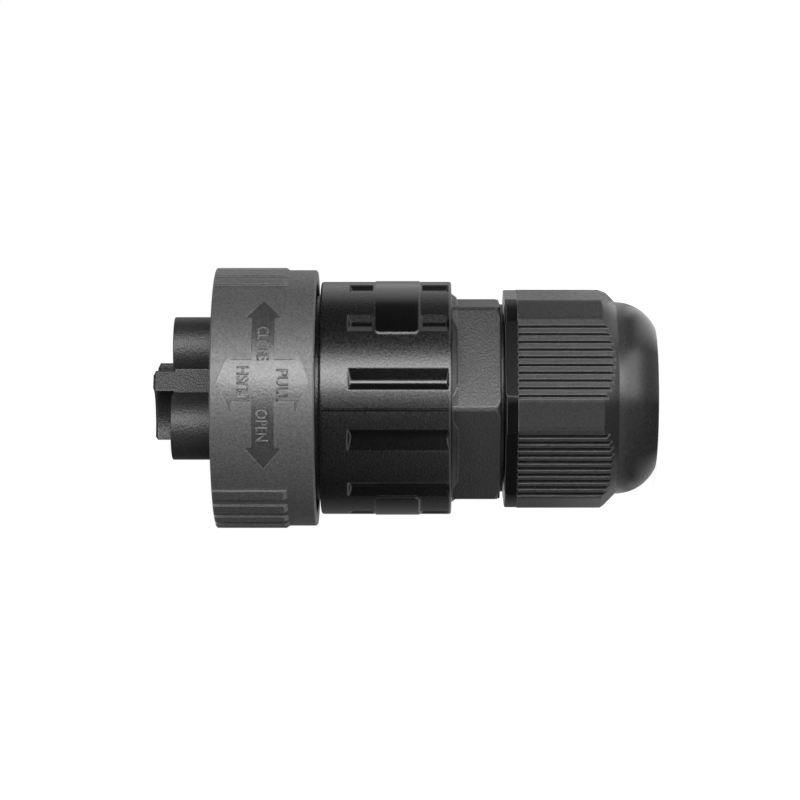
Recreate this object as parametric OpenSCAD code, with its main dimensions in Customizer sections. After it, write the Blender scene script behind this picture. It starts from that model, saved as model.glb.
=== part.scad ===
// Three-pole cable connector: contact insert, locking ring, housing with a spanner hexagon, cable gland.
// Millimetres, standing on the flat end of the gland nut, contacts upwards, axis on Z.
// Angles named _angle are measured about Z from the -Y direction towards +X.

/* [Gland nut] */
// Across the six narrow smooth flats
nut_flat_af = 34.3; // [33:0.1:35]
// Across the six wide ribbed flats, the spanner size
nut_grip_af = 32; // [31:0.1:33]
// Height of the nut
nut_h = 23.2; // [22:0.1:26]
// Height of the plain collar at the open end
nut_collar_h = 1.9; // [1:0.1:4]
// Diameter of the collar between its wide flats
nut_collar_d = 34.2; // [33.4:0.1:34.8]
// Diameter of the round dome
nut_dome_d = 29.5; // [28:0.1:30]
// Rounding of the dome, which the flat end cuts off
nut_dome_round = 6.8; // [6.4:0.1:8]
// Height of the dome, up to where its wall stands upright
nut_dome_h = 6.15; // [5:0.05:6.3]
// Rise of the cone that runs from the dome out to the flats
nut_cone_h = 2.45; // [1.8:0.05:3]
// Grooves in each ribbed flat
nut_grooves = 10; // [6:1:10]
// Distance between grooves
nut_groove_pitch = 1.245; // [1:0.005:1.26]
// Width of a groove at its mouth
nut_groove_w = 0.7; // [0.4:0.02:0.9]
// Width of a groove at its floor
nut_groove_floor_w = 0.36; // [0.2:0.02:0.4]
// Depth of a groove
nut_groove_depth = 0.65; // [0.3:0.05:0.9]
// Shift of the grooves from the middle of their flat, in the front half of the mould
nut_groove_shift = 0.54; // [0:0.02:0.6]
// The same shift in the back half of the mould
nut_groove_back_shift = 0.28; // [0:0.02:0.6]
// Thickness of the end wall round the cable entry
nut_end_wall = 2.4; // [2:0.1:3]
// Direction of one smooth flat, a free position on the thread
nut_angle = -32.7; // [-60:0.1:60]

/* [Thread] */
// Outside diameter of the gland thread
thread_d = 24.6; // [24:0.1:25]
// Depth of the thread, cut away here to its core
thread_depth = 0.65; // [0.4:0.05:0.9]
// Clearance from the thread crest to the bore of the nut
thread_gap = 0.1; // [0.05:0.05:0.3]
// Distance from the nut's end to the hexagon when tight
nut_gap = 0.7; // [0.2:0.05:1]
// Diameter of the shoulder at the hexagon that the nut comes up to
shoulder_d = 28.8; // [26.5:0.1:29]
// Distance from the nut's end to that shoulder when tight
shoulder_gap = 0.2; // [0.1:0.05:0.3]

/* [Cable clamp] */
// Bore of the rubber seal, the thickest cable
cable_d = 13.5; // [12:0.1:13.8]
// Wall of the rubber seal
seal_wall = 1.35; // [1:0.05:1.6]
// Length of the rubber seal
seal_l = 18.4; // [14:0.1:20]
// Clearance between the seal and the clamp cage
seal_gap = 0.1; // [0.05:0.05:0.2]
// Wall of the sleeve of the clamp cage
cage_wall = 1.3; // [1:0.1:1.6]
// Clearance between the cage and the housing
cage_gap = 0.1; // [0.05:0.01:0.2]
// Number of clamp fingers
cage_fingers = 10; // [6:1:12]
// Width of the slits between the fingers
cage_slit_w = 1.3; // [0.6:0.1:1.8]
// Length of the fingers
cage_finger_l = 8.4; // [6:0.1:9]
// Thickness of the flange behind the fingers
cage_flange_h = 1.7; // [1:0.1:2]
// Length of the sleeve inside the housing
cage_sleeve_l = 9.6; // [6:0.1:10]
// Clearance between the fingers and the nut's inner cone
cage_cone_gap = 0.15; // [0.1:0.05:0.3]
// Clearance round the cable in the nut's end wall
entry_gap = 0.55; // [0.3:0.05:0.8]

/* [Housing] */
// Across the flats of the spanner hexagon
hex_af = 29.3; // [28.6:0.1:30]
// Length of the hexagon
hex_h = 6.5; // [6:0.05:9]
// Least height of the wire chamber's floor above the foot of the hexagon
chamber_in_hex = 2.4; // [2:0.1:4]
// Least thickness of the wire chamber's floor over the clamp room
chamber_floor_t = 3.4; // [2:0.1:4]
// Chamfer on the hexagon's corners at the nut
hex_chamfer = 0.6; // [0.2:0.05:1]
// Material turned off the hexagon's corners
hex_corner_cut = 0.2; // [0.05:0.05:0.5]
// Diameter of the round neck at the hexagon
neck_d = 30.9; // [30.2:0.1:32]
// Diameter of the round neck at the barrel
neck_barrel_d = 32.6; // [31:0.1:34]
// Length of the round neck
neck_h = 0.85; // [0.4:0.05:2]
// Diameter of the barrel
barrel_d = 35.7; // [34.5:0.1:37]
// Length of the barrel
barrel_l = 19.85; // [18:0.05:22]
// Rounding of the barrel's edges
barrel_round = 0.35; // [0.1:0.05:0.8]
// Number of grip troughs round the barrel
trough_count = 12; // [6:1:16]
// Width of a trough
trough_w = 3.4; // [2:0.1:4]
// Depth of a trough
trough_depth = 0.55; // [0.3:0.05:1]
// Radius where a trough's two walls meet
trough_round = 1.2; // [0.5:0.1:1.5]
// Shift of a trough's lowest line towards the parting line beside it
trough_lean = 0.46; // [0:0.02:0.6]
// Reach of a trough from the hexagon end of the barrel
trough_l = 15.6; // [10:0.1:16.5]
// Length of the sloped ends of a trough
trough_tip = 0.5; // [0.3:0.05:1]
// Direction in which the front half of the mould opens, the middle of the front plate
plate_angle = 60; // [50:1:70]
// Half of the front plate's span round the barrel, over four troughs
plate_half_deg = 51.6; // [50:0.1:52]
// Half of the back plate's span, over two troughs
back_half_deg = 38.6; // [20:0.1:39]
// Width of the plates along the barrel
plate_w = 6.7; // [4:0.1:9]
// Distance of the plates from the hexagon end of the barrel
plate_from_end = 4.85; // [3:0.05:8]
// Rise of the plates above the barrel
plate_rise = 0.12; // [0.04:0.01:0.3]
// Rounding of the plates' corners
plate_corner = 0.7; // [0.3:0.05:1.2]
// Plain land left round the plates, where the troughs stop
plate_land = 0.3; // [0.1:0.05:1]
// Bore that holds the contact insert
bore_d = 28.2; // [27.6:0.1:28.8]
// Step that the insert's flange rests on
seat_step = 0.9; // [0.5:0.1:1.1]
// Wall of the sleeve that carries the locking ring
sleeve_wall = 1.6; // [1.2:0.1:1.8]
// Sleeve's reach past the face of the insert
sleeve_over = 1.4; // [1:0.1:2]

/* [Locking ring] */
// Diameter of the ring's smooth surface
ring_d = 39.3; // [39:0.1:41]
// Length of the ring
ring_l = 15.6; // [14:0.1:18]
// Wall of the ring
ring_wall = 2.05; // [1.6:0.05:2.2]
// Gap between the ring and the barrel
ring_gap = 0.6; // [0.3:0.05:1]
// Running clearance of the ring on the sleeve
ring_run_gap = 0.08; // [0.04:0.01:0.1]
// Thickness of the ring's rear flange
ring_flange_h = 2.5; // [2:0.1:3]
// Width of the chamfer on the ring's edges
ring_chamfer = 0.25; // [0.1:0.05:0.6]
// Grip ribs on each side
ring_ribs = 8; // [4:1:8]
// Angle between ribs
ring_rib_step = 10; // [8:0.1:10.8]
// Angle that a rib takes up
ring_rib_deg = 5.4; // [3:0.1:7]
// Height of a rib
ring_rib_h = 0.35; // [0.1:0.05:0.6]
// Smooth band behind the ribs
ring_band = 4.1; // [3:0.1:8]
// Half angle of the notches in the rear flange
ring_notch_deg = 33; // [20:1:34]
// Direction of the ring's mark at rest
ring_angle = -16.6; // [-30:0.1:0]
// Turn from open to closed
ring_turn = 33; // [20:1:36]
// Height of the sleeve lugs that keep the ring on
lug_h = 2.2; // [1.5:0.1:2.5]
// Half angle of those lugs
lug_half_deg = 28; // [15:1:30]
// Play between the ring's flange and the lugs
lug_play = 0.15; // [0.1:0.05:0.3]
// Clearance between the lugs and the ring's wall
lug_gap = 0.35; // [0.2:0.05:0.5]
// Reach of the bayonet tabs into the ring
tab_reach = 1.5; // [0.8:0.1:1.8]
// Thickness of the bayonet tabs
tab_h = 2.4; // [1.5:0.1:3]
// Half angle of the bayonet tabs
tab_half_deg = 26; // [15:1:32]
// Depth of the tabs behind the front edge
tab_inset = 1.2; // [0.6:0.1:2.5]

/* [Contact insert] */
// Distance from the barrel's front edge to the insert's face
face_over = 6; // [5.6:0.1:7]
// Circle through the tower centres
tower_pcd = 14.66; // [14.2:0.02:15]
// Diameter of a tower
tower_d = 10.25; // [9.6:0.05:10.8]
// Length of a tower
tower_l = 16.55; // [13:0.05:18]
// Rounding of a tower's front edge
tower_round = 0.25; // [0.1:0.05:0.8]
// Length of the Y-shaped barrier
barrier_l = 19.55; // [18:0.05:22]
// Reach of the barrier's wings from the axis
barrier_reach = 6.3; // [4:0.1:7]
// Reach of the longer wing, which keys the mating half
barrier_key_reach = 6.6; // [4:0.1:7]
// Width of the wings' ends
barrier_t = 3.4; // [2.4:0.1:3.6]
// Depth of the barrier's hollow sides behind the towers' fronts
barrier_sink = 0.3; // [0.1:0.05:1]
// Chamfer on the barrier's front edges
barrier_chamfer = 0.4; // [0.1:0.05:0.8]
// Thickness of the insert's flange
flange_h = 7.5; // [7:0.1:8]
// Length of the terminal block behind the flange
block_l = 13.5; // [13.4:0.1:14.5]
// Clearance between the terminal block and the housing
block_gap = 0.2; // [0.1:0.05:0.4]
// Clearance between the flange and the housing
fit_gap = 0.05; // [0.03:0.01:0.1]
// Reach of the snap beads that hold the insert
snap_reach = 0.5; // [0.3:0.05:0.7]
// Half angle of the snap beads
snap_half_deg = 9; // [5:1:15]
// Height of the snap beads
snap_h = 1.6; // [1:0.1:2]
// Thickness of the O-ring's cord
oring_t = 1.3; // [1:0.05:1.5]
// Play of the O-ring in its groove
oring_play = 0.03; // [0.02:0.01:0.06]
// Thickness of the face seal
face_seal_h = 1.4; // [1:0.1:2]
// Width of the face seal
face_seal_w = 1.3; // [1:0.1:1.35]

/* [Contacts] */
// Pin that the sockets take
pin_d = 4; // [3.6:0.1:4.2]
// Clearance of the pin in the socket
pin_gap = 0.02; // [0.01:0.01:0.04]
// Wall of the socket
socket_wall = 0.93; // [0.8:0.01:1]
// Depth of the socket's bore
socket_bore_l = 14; // [10:0.5:15]
// Width of the socket's slits
slit_w = 0.45; // [0.3:0.05:0.6]
// Length of the socket's slits
slit_l = 12; // [8:0.5:12]
// Clearance between a contact and the insert
contact_gap = 0.1; // [0.05:0.05:0.2]
// Distance of the sockets behind the tower's front
socket_inset = 3.2; // [2.8:0.1:4.5]
// Lead of the earth socket in front of the others
earth_lead = 0.9; // [0:0.1:1]
// Thickness of the tower's front lip
lip_t = 1.7; // [1:0.1:1.8]
// Clearance of the pin in the tower's lip
lip_gap = 0.35; // [0.2:0.05:0.5]
// Diameter of the terminal end
terminal_d = 6.8; // [6.4:0.1:7]
// Length of the terminal end
terminal_l = 12.5; // [12:0.1:12.5]
// Hole for the wire
wire_d = 3.8; // [3.4:0.1:4]
// Depth of the wire hole
wire_l = 9.5; // [8:0.1:10]
// Diameter of the terminal screw
screw_d = 3; // [2.5:0.1:3.2]
// Clearance of the terminal screw
screw_gap = 0.05; // [0.03:0.01:0.1]
// Diameter of the screw's head
screw_head_d = 4.4; // [4:0.1:4.8]
// Height of the screw's head
screw_head_h = 1.6; // [1.2:0.1:1.7]
// Width of the driver slot
driver_w = 0.7; // [0.5:0.1:1]
// Distance of the screws from the terminal's rear end
screw_from_end = 4; // [3.4:0.1:5]
// Clearance round the screw's head
head_gap = 0.3; // [0.2:0.05:0.5]
// Thickness of the wire guards
guard_t = 0.3; // [0.2:0.05:0.4]
// Thickness of the spring rings
spring_t = 0.3; // [0.2:0.05:0.4]
// Width of the spring rings
spring_w = 1.8; // [1:0.1:2.5]
// Opening of the spring rings
spring_open_deg = 40; // [20:1:60]
// Thickness of the contact retainer
retainer_h = 2; // [1.6:0.1:3]
// Length of the retainer's peg
retainer_peg_l = 6; // [3:0.1:9]
// Diameter of the retainer's peg
retainer_peg_d = 3.6; // [3:0.1:4]

/* [Hidden] */
$fn = 96;
line_angle = 60;
neutral_angle = -60;
earth_angle = 180;

// Heights of the stack, from the foot up
z_hex = nut_h + nut_gap;
z_neck = z_hex + hex_h;
z_barrel = z_neck + neck_h;
z_front = z_barrel + barrel_l;
z_ring = z_front + ring_gap;
z_ring_top = z_ring + ring_l;
z_flange_top = z_ring + ring_flange_h;
z_lug = z_flange_top + lug_play;
z_face = z_front + face_over;
z_seat = z_face - flange_h;
z_block = z_seat - block_l;
z_tower = z_face + tower_l;
z_barrier = z_face + barrier_l;
z_sleeve = z_face + sleeve_over;

// Nut and clamp
nut_narrow_r = nut_flat_af / 2;
nut_wide_r = nut_grip_af / 2;
nut_half_flat = 2 * (nut_wide_r - nut_narrow_r * cos(30));
nut_corner_r = sqrt(nut_narrow_r * nut_narrow_r + nut_half_flat * nut_half_flat);
nut_dome_core = nut_dome_d / 2 - nut_dome_round;
nut_collar_r = nut_collar_d / 2;
z_nut_cone = nut_dome_h + nut_cone_h;
z_collar = nut_h - nut_collar_h;
nut_bore_r = thread_d / 2 + thread_gap;
thread_core_r = thread_d / 2 - thread_depth;
seal_r = cable_d / 2 + seal_wall;
cage_in_r = seal_r + seal_gap;
cage_out_r = cage_in_r + cage_wall;
entry_r = cable_d / 2 + entry_gap;
z_tip = nut_end_wall + 0.4;
z_root = z_tip + cage_finger_l;
z_cage_top = z_root + cage_flange_h;
z_spigot = z_cage_top + 0.1;
z_cone_top = z_cage_top - 0.4;
cone_low_r = cage_in_r + 0.6;
cone_high_r = nut_bore_r - 0.3;
z_cage_end = z_cage_top + cage_sleeve_l;

// Housing and ring
bore_r = bore_d / 2;
block_bore_r = bore_r - seat_step;
chamber_r = hex_af / 2 - 2.9;
sleeve_r = bore_r + sleeve_wall;
barrel_r = barrel_d / 2;
ring_r = ring_d / 2;
ring_in_r = ring_r - ring_wall;
lug_r = ring_in_r - lug_gap;
z_tab = z_ring_top - tab_inset - tab_h;
z_cage_room = z_cage_end + 0.4;
z_chamber = max(z_cage_room + chamber_floor_t, z_hex + chamber_in_hex);
z_block_bore = z_block - retainer_h - 0.6;

// Insert and contacts
flange_r = bore_r - fit_gap;
block_r = block_bore_r - block_gap;
socket_in_r = pin_d / 2 + pin_gap;
socket_r = socket_in_r + socket_wall;
cavity_r = socket_r + contact_gap;
barrier_side_r = sqrt(pow(barrier_reach - tower_pcd / 2 * cos(60), 2)
    + pow(tower_pcd / 2 * sin(60) - barrier_t / 2, 2));
terminal_r = terminal_d / 2;
terminal_cavity_r = terminal_r + contact_gap;
z_shoulder = z_block + 2 + terminal_l;
z_terminal = z_block + 2;
z_screw = z_terminal + screw_from_end;
lip_r = pin_d / 2 + lip_gap;
z_oring = z_face - 2.1;
oring_groove_r = bore_r - oring_t - 2 * oring_play;
z_snap = z_seat + 0.7;
wire_r = wire_d / 2;
head_seat = terminal_r + 0.1;

// Turns +X to a direction measured from -Y
module towards(a) {
    rotate([0, 0, a - 90]) children();
}

// A profile turned part of the way round, between two directions
module sector(a0, a1) {
    rotate([0, 0, a0 - 90]) rotate_extrude(angle = a1 - a0) children();
}

// Half section of a disc with rounded outer edges, low edge radius a and high edge radius b
module soft_disc(r, z0, z1, a, b) {
    translate([0, z0 + a]) square([r, z1 - z0 - a - b]);
    translate([0, z0]) square([r - a, a + 0.01]);
    translate([0, z1 - b - 0.01]) square([r - b, b + 0.01]);
    translate([r - a, z0 + a]) circle(a);
    translate([r - b, z1 - b]) circle(b);
}

// The place of one contact, with +X pointing away from the connector's axis
module contact_place(a) {
    towards(a) translate([tower_pcd / 2, 0, 0]) children();
}

// Section of a trough across the barrel, +X outwards: two straight walls, round where they meet
module trough_section(lean) {
    bottom = sqrt(barrel_r * barrel_r - trough_w * trough_w / 4) - trough_depth;
    wall_a = atan2(trough_depth, trough_w / 2 - lean);
    wall_b = atan2(trough_depth, trough_w / 2 + lean);
    half = (wall_a + wall_b) / 2;
    middle = (wall_b - wall_a) / 2;
    near = trough_round * tan(half);
    far = 2 * trough_w;
    translate([bottom, lean]) {
        polygon([[near * sin(wall_a), near * cos(wall_a)], [near * sin(wall_b), -near * cos(wall_b)],
            [far * sin(wall_b), -far * cos(wall_b)], [far * sin(wall_a), far * cos(wall_a)]]);
        translate(trough_round / cos(half) * [cos(middle), sin(middle)]) circle(trough_round);
    }
}

// Troughs along the barrel, with sloped ends; those beside the parting line lean to it, so the mould can open
module troughs() {
    deep = trough_depth + 0.1;
    x0 = barrel_r - deep;
    z0 = z_barrel + barrel_round;
    z1 = z_barrel + trough_l;
    for (i = [0:trough_count - 1]) {
        a = 15 + i * 360 / trough_count;
        off = (a - plate_angle + 450) % 180 - 90;
        towards(a) intersection() {
            translate([0, 0, z_barrel - 1])
                linear_extrude(barrel_l) trough_section(abs(off) > 60 ? sign(off) * trough_lean : 0);
            rotate([90, 0, 0]) translate([0, 0, -trough_w]) linear_extrude(2 * trough_w)
                polygon([[x0 - deep, z0 + 2 * trough_tip], [x0 + 2 * deep, z0 - trough_tip],
                    [x0 + 2 * deep, z1 + trough_tip], [x0 - deep, z1 - 2 * trough_tip]]);
        }
    }
}

// A plate's outline drawn out along the way its mould half opens, grown by a margin
module plate_prism(a, half_deg, margin) {
    w = 2 * (barrel_r * sin(half_deg) + margin);
    h = plate_w + 2 * margin;
    z0 = z_barrel + plate_from_end - margin;
    c = plate_corner + margin;
    towards(a) rotate([90, 0, 90]) linear_extrude(barrel_d) {
        translate([-w / 2 + c, z0]) square([w - 2 * c, h]);
        translate([-w / 2, z0 + c]) square([w, h - 2 * c]);
        for (x = [c - w / 2, w / 2 - c])
            for (z = [z0 + c, z0 + h - c])
                translate([x, z]) circle(c);
    }
}

// A plate of the barrel, raised a little above its surface
module plate(a, half_deg) {
    intersection() {
        translate([0, 0, z_barrel + 1]) cylinder(r = barrel_r + plate_rise, h = barrel_l - 2);
        plate_prism(a, half_deg, 0);
    }
}

module housing() {
    corner_r = hex_af / 2 / cos(30) - hex_corner_cut;
    color("#1c1c1d") difference() {
        union() {
            // Spigot for the gland thread
            translate([0, 0, z_spigot]) cylinder(r = thread_core_r, h = z_hex - z_spigot + 1);
            // Shoulder that the nut comes up to
            translate([0, 0, nut_h + shoulder_gap])
                cylinder(r = shoulder_d / 2, h = nut_gap - shoulder_gap + 1);
            // Hexagon up to the barrel, its corners turned off and chamfered at the nut
            intersection() {
                translate([0, 0, z_hex - 1])
                    cylinder(r = hex_af / 2 / cos(30), h = hex_h + neck_h + 3, $fn = 6);
                rotate_extrude()
                    polygon([[0, z_hex], [corner_r - hex_chamfer, z_hex], [corner_r, z_hex + hex_chamfer],
                        [corner_r, z_barrel + 1], [0, z_barrel + 1]]);
            }
            translate([0, 0, z_neck]) cylinder(r1 = neck_d / 2, r2 = neck_barrel_d / 2, h = neck_h + 0.3);
            // Barrel with its troughs, which stop at the plates
            difference() {
                rotate_extrude() soft_disc(barrel_r, z_barrel, z_front, barrel_round, barrel_round);
                difference() {
                    troughs();
                    plate_prism(plate_angle, plate_half_deg, plate_land);
                    plate_prism(plate_angle + 180, back_half_deg, plate_land);
                }
            }
            plate(plate_angle, plate_half_deg);
            plate(plate_angle + 180, back_half_deg);
            // Sleeve and the two lugs that keep the ring on it
            translate([0, 0, z_front - 1]) cylinder(r = sleeve_r, h = z_sleeve - z_front + 1);
            for (a = [0, 180])
                sector(a - lug_half_deg, a + lug_half_deg)
                    translate([sleeve_r - 0.5, z_lug]) square([lug_r - sleeve_r + 0.5, lug_h]);
        }
        // Clamp room, wire chamber, bore of the terminal block, bore of the flange
        translate([0, 0, z_spigot - 1]) cylinder(r = cage_out_r + cage_gap, h = z_cage_room - z_spigot + 1);
        translate([0, 0, z_cage_room - 1]) cylinder(r = cage_in_r, h = z_chamber - z_cage_room + 2);
        translate([0, 0, z_chamber]) cylinder(r = chamber_r, h = z_block_bore - z_chamber + 1);
        translate([0, 0, z_block_bore]) cylinder(r = block_bore_r, h = z_seat - z_block_bore + 1);
        translate([0, 0, z_seat]) cylinder(r = bore_r, h = z_sleeve - z_seat + 1);
        for (a = [90, 270])
            sector(a - snap_half_deg - 0.4, a + snap_half_deg + 0.4)
                translate([bore_r - 0.5, z_snap - 0.1]) square([snap_reach + 0.6, snap_h + 0.2]);
    }
}

// All that lies within one wing's reach, with the front edge taken off
module wing_reach(a, reach) {
    far = tower_pcd;
    towards(a) translate([0, far, 0]) rotate([90, 0, 0]) linear_extrude(2 * far)
        polygon([[-far, z_face - 2], [reach, z_face - 2], [reach, z_barrier - barrier_chamfer],
            [reach - barrier_chamfer - 0.5, z_barrier + 0.5], [-far, z_barrier + 0.5]]);
}

// Y-shaped barrier, whose three sides are hollowed round the towers
module barrier() {
    difference() {
        intersection() {
            translate([0, 0, z_face - 1]) cylinder(r = tower_pcd / 2, h = barrier_l + 1);
            wing_reach(0, barrier_reach);
            wing_reach(120, barrier_key_reach);
            wing_reach(240, barrier_reach);
        }
        for (a = [line_angle, neutral_angle, earth_angle])
            contact_place(a) {
                translate([0, 0, z_tower - barrier_sink]) cylinder(r = barrier_side_r, h = barrier_l);
                translate([0, 0, z_barrier - barrier_chamfer])
                    cylinder(r1 = barrier_side_r, r2 = barrier_side_r + 2 * barrier_chamfer,
                        h = 2 * barrier_chamfer);
            }
    }
}

module contact_insert() {
    color("#232324") difference() {
        union() {
            translate([0, 0, z_block]) cylinder(r = block_r, h = block_l + 1);
            difference() {
                translate([0, 0, z_seat]) cylinder(r = flange_r, h = flange_h);
                rotate_extrude()
                    translate([oring_groove_r, z_oring - oring_t / 2 - 0.15]) square([4, oring_t + 0.3]);
            }
            for (a = [90, 270])
                sector(a - snap_half_deg, a + snap_half_deg)
                    translate([flange_r - 0.5, z_snap]) square([snap_reach + 0.5, snap_h]);
            for (a = [line_angle, neutral_angle, earth_angle])
                contact_place(a)
                    rotate_extrude() soft_disc(tower_d / 2, z_face - 1, z_tower, 0.2, tower_round);
            barrier();
        }
        for (a = [line_angle, neutral_angle, earth_angle])
            contact_place(a) {
                translate([0, 0, z_block - 1]) cylinder(r = terminal_cavity_r, h = z_shoulder - z_block + 1);
                translate([0, 0, z_shoulder - 1])
                    cylinder(r = cavity_r, h = z_tower - lip_t - z_shoulder + 1);
                translate([0, 0, z_tower - lip_t - 1]) cylinder(r = lip_r, h = lip_t + 2);
                translate([0, 0, z_tower - 0.5]) cylinder(r1 = lip_r, r2 = lip_r + 0.6, h = 0.6);
                translate([0, 0, z_screw])
                    rotate([0, 90, 0]) cylinder(r = screw_head_d / 2 + head_gap, h = 20);
            }
        translate([0, 0, z_block - 1]) cylinder(r = retainer_peg_d / 2 + fit_gap, h = retainer_peg_l + 1.2);
    }
}

module contact_retainer() {
    color("#2b2b2c") difference() {
        union() {
            translate([0, 0, z_block - retainer_h]) cylinder(r = block_r - 0.3, h = retainer_h);
            translate([0, 0, z_block - 1]) cylinder(r = retainer_peg_d / 2, h = retainer_peg_l + 1);
            for (a = [line_angle, neutral_angle, earth_angle])
                contact_place(a)
                    translate([0, 0, z_block - 1])
                        cylinder(r = terminal_r, h = z_terminal - z_block + 0.95);
        }
        for (a = [line_angle, neutral_angle, earth_angle])
            contact_place(a) {
                translate([0, 0, z_block - retainer_h - 1]) cylinder(r = wire_r + 0.2, h = 10);
                translate([0, 0, z_block - retainer_h - 0.1])
                    cylinder(r1 = wire_r + 1, r2 = wire_r + 0.2, h = 1.2);
            }
    }
}

module locking_ring() {
    ribs_half = (ring_ribs - 1) * ring_rib_step / 2;
    color("#4a4a4b") towards(ring_angle + 90) union() {
        difference() {
            union() {
                rotate_extrude()
                    polygon([[0, z_ring], [ring_r - ring_chamfer, z_ring], [ring_r, z_ring + ring_chamfer],
                        [ring_r, z_ring_top - ring_chamfer], [ring_r - ring_chamfer, z_ring_top],
                        [0, z_ring_top]]);
                for (side = [90, 270])
                    for (i = [0:ring_ribs - 1])
                        sector(side - ribs_half + i * ring_rib_step - ring_rib_deg / 2,
                            side - ribs_half + i * ring_rib_step + ring_rib_deg / 2)
                            polygon([[ring_r - 1, z_ring + ring_band], [ring_r - 0.1, z_ring + ring_band],
                                [ring_r + ring_rib_h, z_ring + ring_band + 2 * ring_rib_h],
                                [ring_r + ring_rib_h, z_ring_top - 0.25],
                                [ring_r + ring_rib_h - 0.15, z_ring_top - 0.1],
                                [ring_r - 1, z_ring_top - 0.1]]);
            }
            translate([0, 0, z_ring - 1]) cylinder(r = sleeve_r + ring_run_gap, h = ring_l);
            translate([0, 0, z_flange_top]) cylinder(r = ring_in_r, h = ring_l);
            // Notches that let the ring pass over the lugs of the sleeve
            for (side = [90, 270])
                sector(side - ring_notch_deg, side + ring_notch_deg)
                    translate([sleeve_r - 1, z_ring - 1])
                        square([ring_in_r - sleeve_r + 0.8, ring_flange_h + 2]);
        }
        // Bayonet tabs, sloped at the back to draw the mating half in
        for (a = [0, 180])
            sector(a - tab_half_deg, a + tab_half_deg)
                polygon([[ring_in_r + 0.5, z_tab - 1], [ring_in_r, z_tab - 1], [ring_in_r - tab_reach, z_tab],
                    [ring_in_r - tab_reach, z_tab + tab_h - 0.4],
                    [ring_in_r - tab_reach + 0.4, z_tab + tab_h],
                    [ring_in_r + 0.5, z_tab + tab_h]]);
    }
}

module gland_nut() {
    first_groove = -(nut_grooves - 1) / 2 * nut_groove_pitch;
    color("#2a2a2b") difference() {
        intersection() {
            // Twelve flats, wide and narrow by turns
            towards(nut_angle) rotate([0, 0, 30]) cylinder(r = nut_narrow_r / cos(30), h = nut_h, $fn = 6);
            towards(nut_angle) cylinder(r = nut_wide_r / cos(30), h = nut_h, $fn = 6);
            // Dome, cone, corner circle and collar
            rotate_extrude() {
                square([nut_dome_core + 1, nut_dome_h]);
                intersection() {
                    translate([nut_dome_core, nut_dome_h]) circle(nut_dome_round);
                    translate([nut_dome_core, 0]) square([nut_dome_d, nut_dome_h]);
                }
                polygon([[0, nut_dome_h], [nut_dome_d / 2, nut_dome_h], [nut_corner_r - 0.05, z_nut_cone],
                    [nut_corner_r - 0.05, z_collar], [nut_collar_r, z_collar],
                    [nut_collar_r, nut_h - 0.2], [nut_collar_r - 0.2, nut_h], [0, nut_h]]);
            }
        }
        // Grooves of the ribbed flats, parallel to each other on every flat
        for (f = [0:5])
            towards(nut_angle + 30 + 60 * f)
                for (i = [0:nut_grooves - 1])
                    translate([nut_wide_r, first_groove + i * nut_groove_pitch
                        - (f < 3 ? nut_groove_shift : nut_groove_back_shift), nut_dome_h])
                        linear_extrude(z_collar - nut_dome_h)
                            polygon([[-nut_groove_depth, -nut_groove_floor_w / 2],
                                [0, -nut_groove_w / 2], [1, -nut_groove_w / 2],
                                [1, nut_groove_w / 2], [0, nut_groove_w / 2],
                                [-nut_groove_depth, nut_groove_floor_w / 2]]);
        // Cable entry, cone that closes the clamp fingers, bore of the thread
        rotate_extrude()
            polygon([[0, -1], [entry_r + 0.35, -1], [entry_r + 0.35, 0], [entry_r, 0.35],
                [entry_r, nut_end_wall],
                [cone_low_r, nut_end_wall], [cone_high_r, z_cone_top], [nut_bore_r, z_cone_top],
                [nut_bore_r, nut_h - 0.6], [nut_bore_r + 0.6, nut_h], [nut_bore_r + 0.6, nut_h + 1],
                [0, nut_h + 1]]);
    }
}

// Radius of the nut's inner cone at a height
function cone_r(z) =
    cone_low_r + (z - nut_end_wall) * (cone_high_r - cone_low_r) / (z_cone_top - nut_end_wall);

module clamp_cage() {
    color("#55585a") difference() {
        rotate_extrude()
            polygon([[cage_in_r, z_tip], [cone_r(z_tip) - cage_cone_gap, z_tip],
                [cone_r(z_root + 0.6) - cage_cone_gap, z_root + 0.6],
                [cone_r(z_root + 0.6) - cage_cone_gap, z_cage_top],
                [cage_out_r, z_cage_top], [cage_out_r, z_cage_end], [cage_in_r, z_cage_end]]);
        for (i = [0:cage_fingers - 1])
            rotate([0, 0, i * 360 / cage_fingers])
                translate([cage_in_r - 2, -cage_slit_w / 2, z_tip - 1])
                    cube([10, cage_slit_w, cage_finger_l + 1]);
    }
}

module gland_seal() {
    color("#303234") rotate_extrude() translate([cable_d / 2, z_tip + 0.2]) square([seal_wall, seal_l]);
}

module face_seal() {
    color("#3a3c3e") rotate_extrude() {
        translate([bore_r - 0.1 - face_seal_w, z_face]) square([face_seal_w, face_seal_h - face_seal_w / 2]);
        translate([bore_r - 0.1 - face_seal_w / 2, z_face + face_seal_h - face_seal_w / 2])
            circle(face_seal_w / 2);
    }
}

module insert_oring() {
    color("#3a3c3e") rotate_extrude()
        translate([bore_r - oring_play - oring_t / 2, z_oring]) circle(oring_t / 2);
}

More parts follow.
